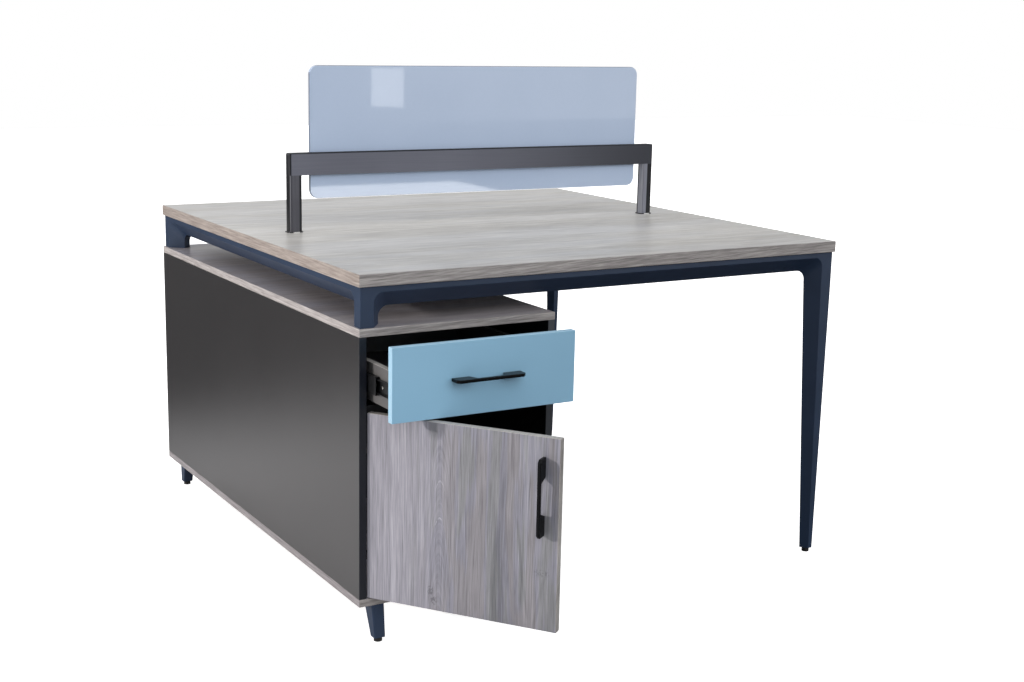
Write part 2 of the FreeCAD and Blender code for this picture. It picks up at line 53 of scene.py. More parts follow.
# Colours and shader maths
def linear(channel):
    """A display value from 0 to 255 as linear light."""
    share = channel / 255
    return share / 12.92 if share <= 0.04045 else ((share + 0.055) / 1.055) ** 2.4


def tint(red, green, blue):
    return (linear(red), linear(green), linear(blue), 1.0)


def wood_tones(spread, dark, middle, light):
    """Three stops of a ramp, spread evenly about the middle of the noise."""
    return [(0.5 - spread, tint(*dark)), (0.5, tint(*middle)), (0.5 + spread, tint(*light))]


class Field:
    """A number that changes over a surface; sums and products of it add their Math nodes."""

    def __init__(self, finish, socket):
        self.finish = finish
        self.socket = socket

    def math(self, operation, first, second=0.0):
        inputs = {0: first, 1: second}
        return self.finish.node("ShaderNodeMath", {"operation": operation}, inputs)

    def __add__(self, other):
        return self.math("ADD", self, other)

    def __radd__(self, other):
        return self.math("ADD", other, self)

    def __sub__(self, other):
        return self.math("SUBTRACT", self, other)

    def __rsub__(self, other):
        return self.math("SUBTRACT", other, self)

    def __mul__(self, other):
        return self.math("MULTIPLY", self, other)

    def __rmul__(self, other):
        return self.math("MULTIPLY", other, self)

    def __gt__(self, other):
        return self.math("GREATER_THAN", self, other)

    def __lt__(self, other):
        return self.math("LESS_THAN", self, other)

    def __abs__(self):
        return self.math("ABSOLUTE", self)

    def least(self, other):
        return self.math("MINIMUM", self, other)

    def most(self, other):
        return self.math("MAXIMUM", self, other)

    def wave(self):
        return self.math("SINE", self)

    def between(self, low, high):
        """0 below low, 1 above high and a smooth rise between them."""
        settings = {"interpolation_type": "SMOOTHSTEP"}
        inputs = {"Value": self, "From Min": low, "From Max": high}
        return self.finish.node("ShaderNodeMapRange", settings, inputs)


class Finish:
    """A material whose nodes are added one by one around a Principled surface."""

    def __init__(self, name, constants):
        self.material = bpy.data.materials.new(name)
        self.material.use_nodes = True
        self.tree = self.material.node_tree
        self.tree.nodes.clear()
        self.surface = self.tree.nodes.new("ShaderNodeBsdfPrincipled")
        output = self.tree.nodes.new("ShaderNodeOutputMaterial")
        self.tree.links.new(self.surface.outputs[0], output.inputs[0])
        self.feed(constants)
        self.places = {}

    def node(self, kind, settings=None, inputs=None, output=0):
        """Any node: its settings first, then values or links for its sockets."""
        node = self.tree.nodes.new(kind)
        for name, value in (settings or {}).items():
            if name == "stops":
                self.set_stops(node.color_ramp.elements, value)
            else:
                setattr(node, name, value)
        for name, value in (inputs or {}).items():
            self.join(node.inputs[name], value)
        return Field(self, node.outputs[output])

    def set_stops(self, elements, stops):
        while len(elements) < len(stops):
            elements.new(1.0)
        for element, (position, colour) in zip(elements, stops):
            element.position = position
            element.color = colour

    def join(self, socket, value):
        if isinstance(value, Field):
            self.tree.links.new(value.socket, socket)
        else:
            socket.default_value = value

    def feed(self, sockets):
        for name, value in sockets.items():
            self.join(self.surface.inputs[name], value)

    def place(self, turn=0.0, shift=(0.0, 0.0, 0.0), tilt=0.0):
        """The point on the piece, turned about the upright axis, tilted along it and moved."""
        key = (turn, shift, tilt)
        if key not in self.places:
            point = self.node("ShaderNodeTexCoord", output="Object")
            inputs = {"Vector": point, "Rotation": (0.0, tilt, turn), "Location": shift}
            self.places[key] = self.node("ShaderNodeMapping", inputs=inputs)
        return self.places[key]

    def parts_of(self, vector):
        """The three coordinates of a point."""
        split = self.node("ShaderNodeSeparateXYZ", inputs={0: vector}).socket.node
        return [Field(self, output) for output in split.outputs]

    def stretched(self, vector, scale):
        return self.node("ShaderNodeVectorMath", {"operation": "MULTIPLY"}, {0: vector, 1: scale})

    def noise(self, vector, scale, detail=3.0, roughness=0.5, warp=0.0):
        """Noise in features per metre, along each axis on its own or the same along all."""
        scales = scale if isinstance(scale, tuple) else (scale, scale, scale)
        inputs = {"Vector": self.stretched(vector, scales), "Scale": 1.0, "Detail": detail}
        inputs.update({"Roughness": roughness, "Distortion": warp})
        return self.node("ShaderNodeTexNoise", {}, inputs)

    def ramp(self, value, stops):
        return self.node("ShaderNodeValToRGB", {"stops": stops}, {"Fac": value})

    def tones(self, value, dark, light):
        """Display colours from dark to light over the range that noise mostly keeps to."""
        return self.ramp(value, [(0.3, tint(*dark)), (0.7, tint(*light))])

    def mix(self, share, first, second):
        """One colour, or another where the share is 1; 6 and 7 are the node's colour sockets."""
        inputs = {0: share, 6: first, 7: second}
        return self.node("ShaderNodeMix", {"data_type": "RGBA"}, inputs, output=2)

    def wandered(self, vector, scale, reach):
        """The point moved a little by slow noise, so that lines drawn from it wander."""
        inputs = {"Vector": self.stretched(vector, scale), "Scale": 1.0, "Detail": 2.0}
        cloud = self.node("ShaderNodeTexNoise", {}, inputs, "Color")
        moved = {0: cloud, 1: reach, 2: vector}
        return self.node("ShaderNodeVectorMath", {"operation": "MULTIPLY_ADD"}, moved)

    def complete(self, colour, roughness, relief, depth, strength):
        """Feeds the surface its colour, roughness and fine relief, and gives the material."""
        bump = {"Height": relief, "Distance": depth, "Strength": strength}
        self.feed({"Base Color": colour, "Roughness": roughness})
        self.feed({"Normal": self.node("ShaderNodeBump", {}, bump)})
        return self.material


def from_ends(value, low, high):
    """How far a coordinate lies from the nearer end of a range."""
    return (value - low).least(high - value)


# Finishes
def grained(name, dark, light, roughness, constants):
    """A plain finish with a fine even grain and a slight mottle."""
    coat = Finish(name, constants)
    point = coat.place()
    grain = coat.noise(point, 1200.0, 2.0)
    mottle = coat.noise(point, 14.0, 3.0)
    colour = coat.tones(grain * 0.5 + mottle * 0.5, dark, light)
    return coat.complete(colour, roughness - 0.05 + grain * 0.1, grain, depth=0.00006, strength=0.4)


def frame_slate():
    """Slate-navy powder coat with a fine orange-peel texture."""
    coat = Finish("frame_slate", {"Specular IOR Level": 0.34})
    point = coat.place()
    mottle = coat.noise(point, 9.0, 4.0)
    grain = coat.noise(point, 900.0, 2.0)
    colour = coat.tones(mottle * 0.6 + grain * 0.4, (33, 48, 70), (42, 58, 83))
    return coat.complete(colour, 0.4 + grain * 0.12, grain, depth=0.0001, strength=0.35)


def beam_anthracite():
    """Anodised anthracite aluminium with faint drawn lines, painted shade toward its right end and
    painted dark reflections on its top rim and rounded ends.
    """
    top_rim, end_rim = 0.0022, 0.0055
    low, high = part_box("screen_beam")
    coat = Finish("beam_anthracite", {"Metallic": 0.35})
    point = coat.place()
    x, _, z = coat.parts_of(point)
    lines = coat.noise(point, (6.0, 900.0, 900.0), 3.0)
    tone = coat.noise(point, 5.0, 2.0) * 0.5 + lines * 0.5
    face = coat.tones(tone, (88, 90, 101), (101, 103, 114))
    # Painted shade: the face darkens toward the right end.
    toward_right = (x - (low.x + high.x) / 2).between(-0.2, 0.6)
    face = coat.mix(toward_right, face, tint(40, 42, 50))
    # Painted reflection: the top rim and rounded ends are painted dark, as if mirroring a dark
    # room.
    rim = ((high.z - z) < top_rim).most(from_ends(x, low.x, high.x) < end_rim)
    colour = coat.mix(rim, face, tint(20, 23, 31))
    return coat.complete(colour, 0.34 + lines * 0.12, lines, depth=0.00006, strength=0.4)


def post_anthracite(name, node, start, end, dark, pale):
    """The beam's metal on an upright: a painted highlight strip on each broad face, painted shade
    on the rest.

    The strip runs from start to end, counted from the middle, rightward on the front face
    and leftward on the rear face. Left of painted_highlight_end a painted highlight lightens it."""
    painted_highlight_end, blur = -0.0125, 0.0016
    low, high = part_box(node)
    coat = Finish(name, {"Metallic": 0.5})
    point = coat.place()
    x, y, _ = coat.parts_of(point)
    lines = coat.noise(point, (900.0, 900.0, 6.0), 3.0)
    facing = (y < (low.y + high.y) / 2 + 0.003) * 2 - 1
    across = (x - (low.x + high.x) / 2) * facing
    beside = (abs(across - (start + end) / 2) - (end - start) / 2).between(0.0, blur)
    flat = coat.tones(lines, dark, pale)
    # Painted highlight left of painted_highlight_end.
    flat = coat.mix((across < painted_highlight_end) * 0.6, flat, tint(190, 192, 202))
    # Painted shade on the rounded flanks beside the strip.
    painted_shade_flank = coat.tones(lines, (13, 14, 19), (21, 23, 29))
    colour = coat.mix(beside, flat, painted_shade_flank)
    return coat.complete(colour, 0.3 + lines * 0.12, lines, depth=0.00006, strength=0.4)


def flange_metal():
    """Dark base plates with a painted glint on the thin rim beside the posts, in front and behind.
    """
    post_from_middle, half_width, rim_width = 0.484, 0.0075, 0.0007
    low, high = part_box("screen_post_flanges")
    coat = Finish("flange_metal", {"Metallic": 0.6})
    point = coat.place()
    x, y, _ = coat.parts_of(point)
    grain = coat.noise(point, 700.0, 3.0)
    rim = from_ends(y, low.y, high.y) < rim_width
    near_post = abs(abs(x - (low.x + high.x) / 2) - post_from_middle) < half_width
    # Painted glint: the rim beside each post is painted bright, broken by the grain.
    painted_glint = (rim * near_post).least(grain > 0.38)
    plain = coat.tones(grain, (34, 35, 40), (46, 47, 53))
    colour = coat.mix(painted_glint, plain, tint(214, 214, 212))
    return coat.complete(colour, 0.26 + grain * 0.12, grain, depth=0.00004, strength=0.4)


def board_wood(name, node, cool_tones, warm_tones, end_tones):
    """Grey wood decor along X on a board, with edge bands of their own on all four sides."""
    band, joint_middle, joint_half = 0.0012, 0.00135, 0.00013
    slant = 0.055
    low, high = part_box(node)
    board = Finish(name, {"Specular IOR Level": 0.5})
    point = board.place()
    x, y, _ = board.parts_of(point)
    path = board.wandered(point, (2.2, 5.0, 1.0), (0.0, 0.03, 0.0))
    fine_path = board.wandered(path, (14.0, 60.0, 1.0), (0.0, 0.003, 0.0))
    bands = board.noise(path, (1.1, 7.0, 7.0), 3.0, 0.5, warp=0.3)
    streaks = board.noise(path, (7.0, 60.0, 60.0), 4.0, 0.6, warp=0.2)
    fine = board.noise(fine_path, (26.0, 340.0, 340.0), 4.0, 0.62)
    pores = board.noise(point, (70.0, 1100.0, 1100.0), 2.0)
    warmth = board.noise(path, (1.6, 15.0, 15.0), 3.0).between(0.42, 0.58)
    tone = bands * 0.35 + streaks * 0.5 + fine * 0.4 - 0.125
    tone = tone - pores.between(0.6, 0.72) * fine.between(0.45, 0.6) * 0.1
    top = board.mix(warmth, board.ramp(tone, cool_tones), board.ramp(tone, warm_tones))

    from_side = from_ends(x, low.x, high.x)
    from_front = from_ends(y, low.y, high.y)
    end_path = board.wandered(point, (1.0, 3.0, 40.0), (0.0, 0.0, 0.004))
    end_lines = board.noise(end_path, (400.0, 13.0, 300.0), 5.0, 0.65)
    front_path = board.wandered(point, (3.0, 1.0, 40.0), (0.0, 0.0, 0.004))
    slanted = board.place(tilt=slant)
    front_lines = board.noise(slanted, (16.0, 400.0, 520.0), 5.0, 0.68) * 0.7
    front_lines = front_lines + board.noise(front_path, (5.0, 400.0, 160.0), 3.0) * 0.3
    front_tones = wood_tones(0.17, (100, 95, 95), (147, 142, 140), (190, 185, 182))
    colour = board.mix(from_front < band, top, board.ramp(front_lines, front_tones))
    colour = board.mix(from_side < band, colour, board.ramp(end_lines, end_tones))
    joint = abs(from_side.least(from_front) - joint_middle) < joint_half
    colour = board.mix(joint * 0.5, colour, tint(92, 86, 82))
    roughness = 0.24 + fine * 0.1 + pores * 0.08
    relief = fine * 0.5 + pores * 0.5
    return board.complete(colour, roughness, relief, depth=0.00007, strength=0.35)


def spot(across, up, middle, reach):
    """1 in the middle of an oval on the door and 0 at its rim."""
    sideways = (across - middle[0]) * (1 / reach[0])
    upright = (up - middle[1]) * (1 / reach[1])
    return 1 - (sideways * sideways + upright * upright).between(0.15, 1.0)


def streak_line(across, up, start, end, width):
    """1 on a line that runs down the door from one point to another, 0 a little beside it."""
    lean = (end[0] - start[0]) / (end[1] - start[1])
    beside = abs(across - start[0] - (up - start[1]) * lean)
    along = (up - end[1]).between(-0.012, 0.01) * (start[1] - up).between(-0.012, 0.01)
    return (1 - beside.between(width * 0.3, width)) * along


def door_wood(name, turn, shift):
    """Grey-lilac wood decor with upright grain, a broken figure of arches, knots and bands.

    Its own coordinates run across the door from the hinge side and up from the floor."""
    figure_middle, figure_bend = 0.166, 190
    lower_crest, upper_crest = 0.288, 0.362
    door_top, door_free_side = 0.4775, 0.4045
    board = Finish(name, {"Specular IOR Level": 0.5})
    point = board.place(turn, shift)
    path = board.wandered(point, (7.0, 1.0, 2.2), (0.014, 0.0, 0.0))
    fine_path = board.wandered(path, (50.0, 1.0, 9.0), (0.0011, 0.0, 0.0))
    across, _, up = board.parts_of(fine_path)
    true_across, _, true_up = board.parts_of(point)

    # The straight grain
    bands = board.noise(path, (24.0, 1.0, 1.6), 3.0, 0.55)
    streaks = board.noise(fine_path, (130.0, 1.0, 4.0), 4.0, 0.6)
    lines = board.noise(fine_path, (420.0, 1.0, 10.0), 4.0, 0.66)
    contours = board.noise(fine_path, (190.0, 1.0, 2.4), 3.0)
    hairs = 1 - abs(contours - 0.5).between(0.003, 0.028)
    hairs = hairs * board.noise(point, (60.0, 1.0, 12.0), 2.0).between(0.36, 0.6)
    pores = board.noise(point, (1500.0, 1.0, 60.0), 2.0)
    straight = bands * 0.22 + streaks * 0.28 + lines * 0.5

    # The arches, one over the other, with two darker crests and a plainer heart below them
    offset = across - figure_middle
    arch = up + offset * offset * figure_bend
    ring_path = board.node("ShaderNodeCombineXYZ", {}, {0: offset * 14, 2: arch * 60})
    rings = board.noise(ring_path, 1.0, 4.0, 0.6)
    inside = 1 - abs(offset).between(0.012, 0.05)
    figured = rings * 0.35 + streaks * 0.2 + lines * 0.5 - 0.025
    tone = straight + (figured - straight) * (inside * 0.8)
    patchy = board.noise(point, (70.0, 1.0, 90.0), 3.0).between(0.35, 0.6)
    crests = 1 - abs(arch - lower_crest).between(0.0008, 0.003)
    crests = crests + (1 - abs(arch - upper_crest).between(0.0008, 0.0032)) * 0.7
    tone = tone + crests * (1 - abs(offset).between(0.004, 0.014)) * patchy * 0.2
    under_crest = 1 - (arch - lower_crest).between(-0.004, 0.004)
    heart = under_crest * inside * (up - 0.1).between(0.0, 0.1)

    # Single marks where the photograph has them
    broken = board.noise(point, (260.0, 1.0, 170.0), 3.0).between(0.44, 0.6)
    # A painted shadow of the drawer's face on the door's top, broken by the grain lines.
    painted_shadow = spot(across, up, (0.156, 0.49), (0.03, 0.055)) * lines.between(0.3, 0.62)
    knots = spot(across, up, (0.149, 0.138), (0.007, 0.012))
    knots = knots + spot(across, up, (0.157, 0.118), (0.009, 0.01))
    dark_band = spot(across, up, (0.294, 0.13), (0.02, 0.24)) * streaks.between(0.3, 0.62)
    curved = streak_line(across, up, (0.331, 0.31), (0.352, 0.12), 0.004)
    curved = curved + streak_line(across, up, (0.386, 0.2), (0.366, 0.1), 0.005) * 0.8
    right_figure = spot(across, up, (0.381, 0.212), (0.022, 0.009)) * broken
    patch = spot(across, up, (0.343, 0.18), (0.011, 0.055))
    marks = painted_shadow * 0.24 + knots * broken * 0.22 + dark_band * 0.1
    marks = marks + curved * 0.06 + right_figure * 0.08
    value = tone - marks - patch * 0.03 - hairs * 0.07

    lilac = wood_tones(0.14, (107, 107, 116), (142, 141, 151), (171, 170, 180))
    beige = wood_tones(0.14, (99, 97, 103), (133, 131, 137), (162, 160, 166))
    moss = wood_tones(0.14, (96, 98, 102), (129, 130, 135), (157, 158, 163))
    blue = wood_tones(0.14, (99, 100, 110), (133, 133, 145), (162, 162, 174))
    hue = board.noise(path, (30.0, 1.0, 3.0), 3.0)
    right = board.mix(hue.between(0.42, 0.5), board.ramp(value, beige), board.ramp(value, blue))
    right = board.mix(hue.between(0.53, 0.6).most(patch), right, board.ramp(value, moss))
    toward_right = (true_across + hue * 0.1).between(0.12, 0.27)
    colour = board.mix(toward_right, board.ramp(value, lilac), right)
    colour = board.mix(heart * 0.8, colour, board.ramp(value - 0.02, blue))
    edge_top = 1 - (door_top - true_up).between(0.0004, 0.0009)
    edge_free = (true_across - door_free_side).between(0.0, 0.0006)
    edge_tone = board.tones(lines, (138, 135, 132), (184, 181, 178))
    colour = board.mix(edge_top.most(edge_free), colour, edge_tone)
    roughness = 0.36 + lines * 0.1 + pores * 0.08
    relief = lines * 0.5 + pores * 0.5
    return board.complete(colour, roughness, relief, depth=0.0001, strength=0.4)


def side_charcoal(name, node, inner_on_right, dark_band, light_band):
    """Charcoal melamine with slate bands on both upright edges; its inner face is painted
    near-black as shade inside the cabinet.
    """
    inner_skin, band = 0.0006, 0.0009
    low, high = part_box(node)
    board = Finish(name, {"Specular IOR Level": 0.7})
    point = board.place()
    x, y, _ = board.parts_of(point)
    grain = board.noise(point, 1400.0, 2.0)
    mottle = board.noise(point, 4.0, 2.0)
    tone = grain * 0.5 + mottle * 0.5
    face = board.tones(tone, (36, 35, 36), (44, 43, 44))
    # Painted shade: the face toward the cabinet's inside is a darker copy of the charcoal.
    inner = board.tones(tone, (14, 14, 16), (22, 22, 25))
    from_inner = high.x - x if inner_on_right else x - low.x
    colour = board.mix(from_inner < inner_skin, face, inner)
    edge = from_ends(y, low.y, high.y) < band
    colour = board.mix(edge, colour, board.tones(tone, dark_band, light_band))
    return board.complete(colour, 0.26 + grain * 0.08, grain, depth=0.00003, strength=0.3)


def drawer_blue():
    """Cyan-blue laminate on the drawer's face, with a painted highlight along its edges."""
    band = 0.0007
    low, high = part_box("front_drawer_face")
    board = Finish("drawer_blue", {"Specular IOR Level": 0.5})
    point = board.place()
    x, _, z = board.parts_of(point)
    grain = board.noise(point, 1300.0, 2.0)
    cloud = board.noise(point, 5.0, 2.0)
    face = board.tones(grain * 0.4 + cloud * 0.6, (134, 180, 208), (143, 189, 217))
    rim = from_ends(x, low.x, high.x).least(from_ends(z, low.z, high.z))
    # Painted highlight: the edges of the face are lightened toward pale blue.
    colour = board.mix((rim < band) * 0.45, face, tint(176, 208, 228))
    return board.complete(colour, 0.36 + grain * 0.1, grain, depth=0.00005, strength=0.4)


def drawer_grey(name, node):
    """Warm-grey drawer boards in dark tones, partly painted shade for the cabinet's dim inside,
    with a painted highlight strip along their upper edge.
    """
    strip = 0.0006
    _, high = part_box(node)
    board = Finish(name, {"Specular IOR Level": 0.4})
    point = board.place()
    _, _, z = board.parts_of(point)
    grain = board.noise(point, 900.0, 3.0)
    cloud = board.noise(point, 7.0, 2.0)
    # Dark tones: partly the boards' own grey, partly painted shade.
    face = board.tones(grain * 0.5 + cloud * 0.5, (84, 83, 84), (98, 97, 98))
    # Painted highlight along the upper edge.
    colour = board.mix(high.z - z < strip, face, tint(150, 148, 146))
    return board.complete(colour, 0.42 + grain * 0.12, grain, depth=0.00006, strength=0.4)


def milky_screen():
    """Glossy milky acrylic, pale blue-grey, with painted shade along its top edge and a painted
    highlight along its bottom edge.
    """
    level_edge, upright_edge = 0.0009, 0.0006
    low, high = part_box("screen_panel")
    sheet = Finish("milky_screen", {"Specular IOR Level": 0.6})
    point = sheet.place()
    x, _, z = sheet.parts_of(point)
    cloud = sheet.noise(point, 3.0, 2.0)
    haze = sheet.noise(point, 240.0, 2.0)
    face = sheet.tones(cloud * 0.8 + haze * 0.2, (173, 190, 215), (181, 197, 221))
    # Painted shade along the top edge.
    face = sheet.mix(high.z - z < level_edge, face, tint(96, 104, 124))
    # Painted highlight along the bottom edge.
    face = sheet.mix(z - low.z < level_edge, face, tint(236, 240, 248))
    face = sheet.mix(from_ends(x, low.x, high.x) < upright_edge, face, tint(120, 130, 150))
    return sheet.complete(face, 0.015 + haze * 0.02, cloud, depth=0.00002, strength=0.1)


def glide_plastic():
    """A black plastic pad below, a zinc-plated threaded stem above."""
    pad_top, thread_pitch = 0.0091, 0.00125
    part = Finish("glide_plastic", {})
    point = part.place()
    _, _, z = part.parts_of(point)
    grain = part.noise(point, 700.0, 3.0)
    stem = z > pad_top
    pad = part.tones(grain, (18, 18, 19), (30, 30, 31))
    zinc = part.tones(grain, (150, 150, 152), (182, 182, 184))
    part.feed({"Metallic": stem})
    roughness = 0.55 + grain * 0.1 - stem * 0.25
    relief = grain * 0.2 + (z * (2 * math.pi / thread_pitch)).wave() * stem
    return part.complete(part.mix(stem, pad, zinc), roughness, relief, depth=0.0003, strength=0.8)


door_pivot = at(18.0, 2.5, 0.0)
front_turn = Matrix.Rotation(door_turn, 3, "Z") @ door_pivot
cool_desk = wood_tones(0.16, (160, 159, 158), (188, 187, 186), (211, 210, 209))
warm_desk = wood_tones(0.16, (155, 152, 148), (185, 183, 179), (210, 208, 205))
# The cabinet's boards take the desktop's decor in darker, more lilac tones; the darkening is
# painted shade from the desktop above. The bottom board's edge bands are darker still.
cool_shelf = wood_tones(0.14, (130, 128, 136), (157, 154, 162), (179, 177, 185))
warm_shelf = wood_tones(0.14, (126, 121, 125), (154, 149, 153), (177, 172, 175))
desk_ends = wood_tones(0.2, (122, 112, 107), (158, 148, 142), (186, 177, 171))
shelf_ends = wood_tones(0.2, (134, 127, 127), (171, 166, 165), (198, 194, 193))
low_ends = wood_tones(0.2, (99, 94, 97), (132, 127, 130), (160, 155, 158))
black_metal = grained("black_metal", (3, 4, 6), (8, 9, 12), 0.24, {"Specular IOR Level": 0.12})
nickel = grained("nickel", (168, 168, 164), (190, 190, 186), 0.26, {"Metallic": 1.0})
runner_steel = grained("runner_steel", (12, 13, 15), (22, 23, 26), 0.33, {"Metallic": 0.2})

# By the node's name where it has a finish of its own, otherwise by its material slot.
finishes = {
    "frame_slate": frame_slate(),
    # Both posts are one metal: the right post's lighter tones are painted light, and the strips and
    # flanks on both are painted light and shade.
    "bridge_anthracite": beam_anthracite(),
    "screen_post_left": post_anthracite(
        "post_left", "screen_post_left",
        start=-0.0125, end=0.0075, dark=(70, 70, 77), pale=(84, 84, 91)),
    "screen_post_right": post_anthracite(
        "post_right", "screen_post_right",
        start=-0.018, end=-0.0015, dark=(116, 118, 128), pale=(132, 134, 144)),
    "screen_post_flanges": flange_metal(),
    "desktop": board_wood("desktop_wood", "desktop", cool_desk, warm_desk, desk_ends),
    "cabinet_top": board_wood(
        "cabinet_top_wood", "cabinet_top", cool_shelf, warm_shelf, shelf_ends),
    "cabinet_bottom": board_wood(
        "cabinet_bottom_wood", "cabinet_bottom", cool_shelf, warm_shelf, low_ends),
    "front_door_panel": door_wood("front_door_wood", door_turn, tuple(-front_turn)),
    "rear_door_panel": door_wood("rear_door_wood", 0.0, tuple(-door_pivot)),
    "cabinet_side_left": side_charcoal(
        "side_left", "cabinet_side_left", True, (12, 16, 26), (19, 23, 34)),
    "cabinet_side_right": side_charcoal(
        "side_right", "cabinet_side_right", False, (34, 38, 44), (44, 48, 54)),
    "screen_translucent": milky_screen(),
    # The inside boards are a darker copy of the sides' charcoal: painted shade for the cabinet's
    # unlit inside.
    "inner_black": grained("inner_black", (16, 16, 18), (24, 24, 27), 0.5, {}),
    "drawer_blue": drawer_blue(),
    "front_drawer_sides": drawer_grey("front_sides_grey", "front_drawer_sides"),
    "rear_drawer_sides": drawer_grey("rear_sides_grey", "rear_drawer_sides"),
    "drawer_grey": drawer_grey("box_grey", "front_drawer_inner_front"),
    "gasket_black": grained("gasket_black", (18, 18, 20), (26, 26, 28), 0.7, {}),
    "handle_black": black_metal,
    "runner_black": runner_steel,
    "hinge_nickel": nickel,
    "glide_black": glide_plastic(),
}


# CAD nodes: finish, softened edges and smooth curves
def shading_by_angle(degrees):
    """Geometry nodes that shade curves smooth and keep edges crisp above an angle."""
    group = bpy.data.node_groups.new("shading_by_angle", "GeometryNodeTree")
    for direction in ("INPUT", "OUTPUT"):
        group.interface.new_socket("Geometry", in_out=direction, socket_type="NodeSocketGeometry")
    start = group.nodes.new("NodeGroupInput")
    end = group.nodes.new("NodeGroupOutput")
    faces = group.nodes.new("GeometryNodeSetShadeSmooth")
    faces.domain = "FACE"
    edges = group.nodes.new("GeometryNodeSetShadeSmooth")
    edges.domain = "EDGE"
    angle = group.nodes.new("GeometryNodeInputMeshEdgeAngle")
    compare = group.nodes.new("FunctionNodeCompare")
    compare.data_type = "FLOAT"
    compare.operation = "LESS_THAN"
    compare.inputs["B"].default_value = math.radians(degrees)
    group.links.new(start.outputs[0], faces.inputs["Geometry"])
    group.links.new(faces.outputs[0], edges.inputs["Geometry"])
    group.links.new(angle.outputs["Unsigned Angle"], compare.inputs["A"])
    group.links.new(compare.outputs[0], edges.inputs["Shade Smooth"])
    group.links.new(edges.outputs[0], end.inputs[0])
    return group


smooth_curves = shading_by_angle(28.0)


def shade(obj):
    obj.modifiers.new("shading", "NODES").node_group = smooth_curves


def soften(obj, width, segments):
    """Joins the loose triangles, rounds every clear edge and keeps large flats even."""
    weld = obj.modifiers.new("joined", "WELD")
    weld.merge_threshold = 0.00001
    bevel = obj.modifiers.new("softened", "BEVEL")
    bevel.width = width
    bevel.segments = segments
    bevel.limit_method = "ANGLE"
    bevel.angle_limit = math.radians(30.0)
    shade(obj)
    even = obj.modifiers.new("even_flats", "WEIGHTED_NORMAL")
    even.keep_sharp = True
    even.weight = 100


# Radius and steps of the softened edges, by the start of the node's name; the first that
# fits holds.
edge_softness = [
    ("rail_centre", 0.0010, 2),
    ("rail_", 0.0003, 2),
    ("leg_", 0.0004, 2),
    ("glide_", 0.0024, 4),
    ("cabinet_foot_", 0.0008, 3),
    ("screen_panel", 0.0004, 2),
    ("screen_gaskets", 0.0003, 2),
    ("screen_", 0.0005, 2),
    ("front_runner_", 0.0002, 1),
    ("rear_runner_", 0.0002, 1),
    ("front_hinge_", 0.0004, 2),
    ("rear_hinge_", 0.0004, 2),
    ("", 0.0003, 2),
]

for name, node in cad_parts.items():
    slot = node.data.materials[0].name.split(".")[0]
    node.data.materials[0] = finishes.get(name, finishes.get(slot))
    _, width, segments = [row for row in edge_softness if name.startswith(row[0])][0]
    soften(node, width, segments)


# Small pieces. Those of a drawer or a door are made in the closed front one's place and
# then moved, turned or mirrored to where the body stands at rest.
to_rear = Matrix.Translation((0.0, 2 * middle_y, 0.0)) @ Matrix.Diagonal((1.0, -1.0, 1.0, 1.0))
pivot = Matrix.Translation(door_pivot)
seats = {
    "front_drawer": Matrix.Translation((0.0, -drawer_pull, 0.0)),
    "front_runners": Matrix.Translation((0.0, -drawer_pull / 2, 0.0)),
    "front_door": pivot @ Matrix.Rotation(-door_turn, 4, "Z") @ pivot.inverted(),
    "front_cabinet": Matrix.Identity(4),
    "rear_drawer": to_rear,
    "rear_runners": to_rear,
    "rear_door": to_rear,
    "rear_cabinet": to_rear,
}
cabinet_middle_x = (at(0.0, 0.0, 0.0).x + at(442.0, 0.0, 0.0).x) / 2

leftward = Vector((-1.0, 0.0, 0.0))
rightward = Vector((1.0, 0.0, 0.0))
backward = Vector((0.0, 1.0, 0.0))
downward = Vector((0.0, 0.0, -1.0))

# Places in millimetres that several small pieces share
runner_z = 537.75
drawer_handle_z = 553.75
door_handle_x = 392.0
hinge_heights = (178.0, 397.5)

# Screw heads: radius and height
runner_head = (0.0032, 0.0016)
face_head = (0.0036, 0.0022)
handle_head = (0.0038, 0.0024)
cup_head = (0.0036, 0.0016)
plate_head = (0.0038, 0.002)
side_adjuster = (0.003, 0.0012)
depth_adjuster = (0.0034, 0.0012)
tab_head = (0.0044, 0.0026)

# Washers and nuts: radius, height, number of sides and softened edge
handle_washer = (0.0055, 0.0009, 24, 0.0002)
tab_washer = (0.0062, 0.001, 28, 0.0002)
post_washer = (0.0095, 0.0014, 32, 0.0002)
post_nut = (0.0065, 0.005, 6, 0.0005)


def finished(name, form, finish, body):
    """Turns a form into a piece that rides on a body."""
    bmesh.ops.recalc_face_normals(form, faces=form.faces)
    mesh = bpy.data.meshes.new(name)
    form.to_mesh(mesh)
    form.free()
    piece = bpy.data.objects.new(name, mesh)
    bpy.context.scene.collection.objects.link(piece)
    mesh.materials.append(finish)
    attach(piece, body)
    shade(piece)


def for_both_users(name, build, finish, part, body=None):
    """The same small pieces for the front and for the rear user."""
    for user in ("front_", "rear_"):
        form = bmesh.new()
        build(form)
        bmesh.ops.transform(form, matrix=seats[user + part], verts=form.verts)
        finished(user + name, form, finish, body or user + part)


def mirrored(place):
    """The same place on the other side of the cabinet's width."""
    return Vector((2 * cabinet_middle_x - place.x, place.y, place.z))


def edges_of(verts):
    """Every edge at some vertices, each once and in a fixed order."""
    return list(dict.fromkeys(edge for vert in verts if vert.is_valid for edge in vert.link_edges))


def vertices_in(made):
    return [item for item in made if isinstance(item, bmesh.types.BMVert)]


def round_off(form, edges, width):
    """Softens edges and gives the vertices of the new faces."""
    made = bmesh.ops.bevel(
        form, geom=edges, offset=width, segments=2, profile=0.5, affect="EDGES", material=-1)
    return [vert for face in made["faces"] for vert in face.verts]


